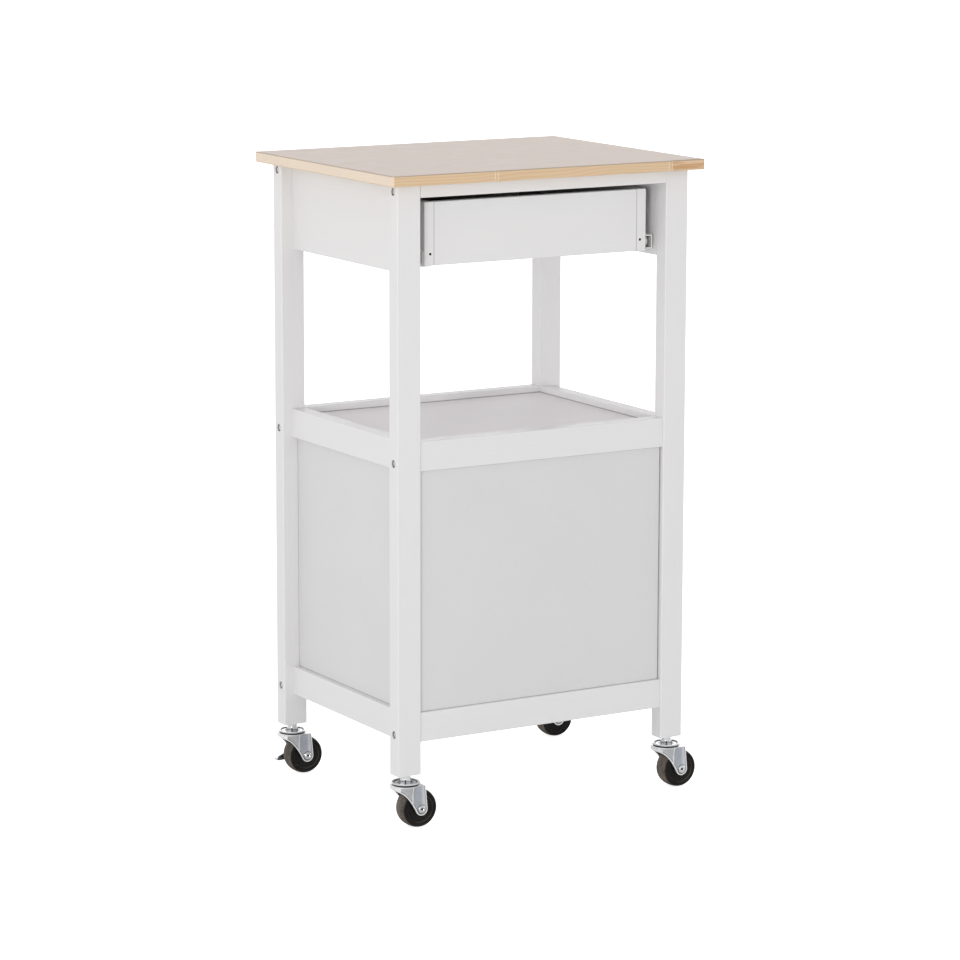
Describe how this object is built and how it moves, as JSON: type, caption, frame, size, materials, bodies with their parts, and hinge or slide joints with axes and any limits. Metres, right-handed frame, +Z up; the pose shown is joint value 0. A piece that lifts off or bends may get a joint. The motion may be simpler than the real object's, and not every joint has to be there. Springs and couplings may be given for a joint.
{
  "type": "microwave cart",
  "caption": "Painted kitchen cart with a pine top, a drawer on roller runners, an open microwave bay and a door cabinet, on swivel castors.",
  "frame": {"origin": "on the floor, below the middle of the wooden top", "axes": "+X right as seen from the front, +Y to the back, +Z up; drawer and door face -Y"},
  "size_m": [0.4805, 0.38, 0.856],
  "materials": {
    "painted_wood": "solid pine in white satin paint, faint grain",
    "painted_panel": "thin board in smooth off-white paint",
    "pine": "finger-jointed solid pine, clear matt lacquer",
    "beech": "plain fluted dowel",
    "bolt_steel": "zinc-plated steel",
    "knob_metal": "brushed nickel",
    "runner_white": "white powder-coated sheet steel",
    "nylon": "moulded nylon",
    "zinc": "bright zinc-plated sheet steel",
    "tread": "black-brown moulded rubber, dusty"
  },
  "bodies": {
    "frame": {"tabletop": "pine", "leg_front_left": "painted_wood", "leg_front_right": "painted_wood", "leg_rear_left": "painted_wood", "leg_rear_right": "painted_wood", "apron_left": "painted_wood", "apron_right": "painted_wood", "mid_rail_left": "painted_wood", "mid_rail_right": "painted_wood", "bottom_rail_left": "painted_wood", "bottom_rail_right": "painted_wood", "top_rail_front": "painted_wood", "top_rail_rear": "painted_wood", "mid_rail_front": "painted_wood", "mid_rail_rear": "painted_wood", "bottom_rail_front": "painted_wood", "bottom_rail_rear": "painted_wood", "side_panel_left": "painted_panel", "side_panel_right": "painted_panel", "rear_panel": "painted_panel", "tray_panel": "painted_panel", "cabinet_floor": "painted_panel", "frame_bolts": "bolt_steel", "barrel_nuts": "bolt_steel", "dowels": "beech", "tabletop_screws": "bolt_steel", "slide_spacers": "painted_wood", "cabinet_slides": "runner_white", "magnetic_catch": "nylon", "hinge_frame_leaves": "zinc", "hinge_pins": "zinc", "castor_heads": "zinc"},
    "drawer": {"drawer_front": "painted_wood", "drawer_side_left": "painted_wood", "drawer_side_right": "painted_wood", "drawer_back": "painted_wood", "drawer_bottom": "painted_panel", "drawer_knob": "knob_metal", "drawer_slides": "runner_white"},
    "door": {"door_frame": "painted_wood", "door_panel": "painted_panel", "door_knob": "knob_metal", "hinge_door_leaves": "zinc", "catch_strike": "bolt_steel"},
    "cabinet_roller_pair": {"cabinet_rollers": "nylon"},
    "drawer_roller_pair": {"drawer_rollers": "nylon"},
    "castor_front_left": {"fork_front_left": "zinc", "axle_front_left": "zinc"},
    "roll_front_left": {"wheel_front_left": "tread"},
    "castor_front_right": {"fork_front_right": "zinc", "axle_front_right": "zinc"},
    "roll_front_right": {"wheel_front_right": "tread"},
    "castor_rear_left": {"fork_rear_left": "zinc", "axle_rear_left": "zinc"},
    "roll_rear_left": {"wheel_rear_left": "tread"},
    "castor_rear_right": {"fork_rear_right": "zinc", "axle_rear_right": "zinc"},
    "roll_rear_right": {"wheel_rear_right": "tread"},
    "brake_front_left": {"brake_lever_front_left": "zinc"},
    "brake_front_right": {"brake_lever_front_right": "zinc"}
  },
  "joints": [
    {"name": "drawer_slide", "type": "slide", "parent": "frame", "child": "drawer", "axis": [0, -1, 0], "range_m": [0, 0.215]},
    {"name": "cabinet_roller_spin", "type": "hinge", "parent": "frame", "child": "cabinet_roller_pair", "pos_m": [0, -0.135, 0.744], "axis": [1, 0, 0], "continuous": true},
    {"name": "drawer_roller_spin", "type": "hinge", "parent": "drawer", "child": "drawer_roller_pair", "pos_m": [0, 0.136, 0.7455], "axis": [1, 0, 0], "continuous": true},
    {"name": "door_hinge", "type": "hinge", "parent": "frame", "child": "door", "pos_m": [-0.1847, -0.1702, 0.31275], "axis": [0, 0, -1], "range_deg": [0, 180]},
    {"name": "castor_swivel_front_left", "type": "hinge", "parent": "frame", "child": "castor_front_left", "pos_m": [-0.203, -0.1555, 0.057], "axis": [0, 0, 1], "continuous": true},
    {"name": "wheel_spin_front_left", "type": "hinge", "parent": "castor_front_left", "child": "roll_front_left", "pos_m": [-0.219, -0.1555, 0.026], "axis": [0, 1, 0], "continuous": true},
    {"name": "castor_swivel_front_right", "type": "hinge", "parent": "frame", "child": "castor_front_right", "pos_m": [0.203, -0.1555, 0.057], "axis": [0, 0, 1], "continuous": true},
    {"name": "wheel_spin_front_right", "type": "hinge", "parent": "castor_front_right", "child": "roll_front_right", "pos_m": [0.187, -0.1555, 0.026], "axis": [0, 1, 0], "continuous": true},
    {"name": "castor_swivel_rear_left", "type": "hinge", "parent": "frame", "child": "castor_rear_left", "pos_m": [-0.203, 0.1615, 0.057], "axis": [0, 0, 1], "continuous": true},
    {"name": "wheel_spin_rear_left", "type": "hinge", "parent": "castor_rear_left", "child": "roll_rear_left", "pos_m": [-0.219, 0.1615, 0.026], "axis": [0, 1, 0], "continuous": true},
    {"name": "castor_swivel_rear_right", "type": "hinge", "parent": "frame", "child": "castor_rear_right", "pos_m": [0.203, 0.1615, 0.057], "axis": [0, 0, 1], "continuous": true},
    {"name": "wheel_spin_rear_right", "type": "hinge", "parent": "castor_rear_right", "child": "roll_rear_right", "pos_m": [0.187, 0.1615, 0.026], "axis": [0, 1, 0], "continuous": true},
    {"name": "brake_press_front_left", "type": "hinge", "parent": "castor_front_left", "child": "brake_front_left", "pos_m": [-0.219, -0.1555, 0.026], "axis": [0, 1, 0], "range_deg": [0, 18]},
    {"name": "brake_press_front_right", "type": "hinge", "parent": "castor_front_right", "child": "brake_front_right", "pos_m": [0.187, -0.1555, 0.026], "axis": [0, 1, 0], "range_deg": [0, 18]}
  ],
  "couplings": [
    {"joint": "cabinet_roller_spin", "follows": "drawer_slide", "rad_per_m": 133.33},
    {"joint": "drawer_roller_spin", "follows": "drawer_slide", "rad_per_m": 133.33}
  ]
}
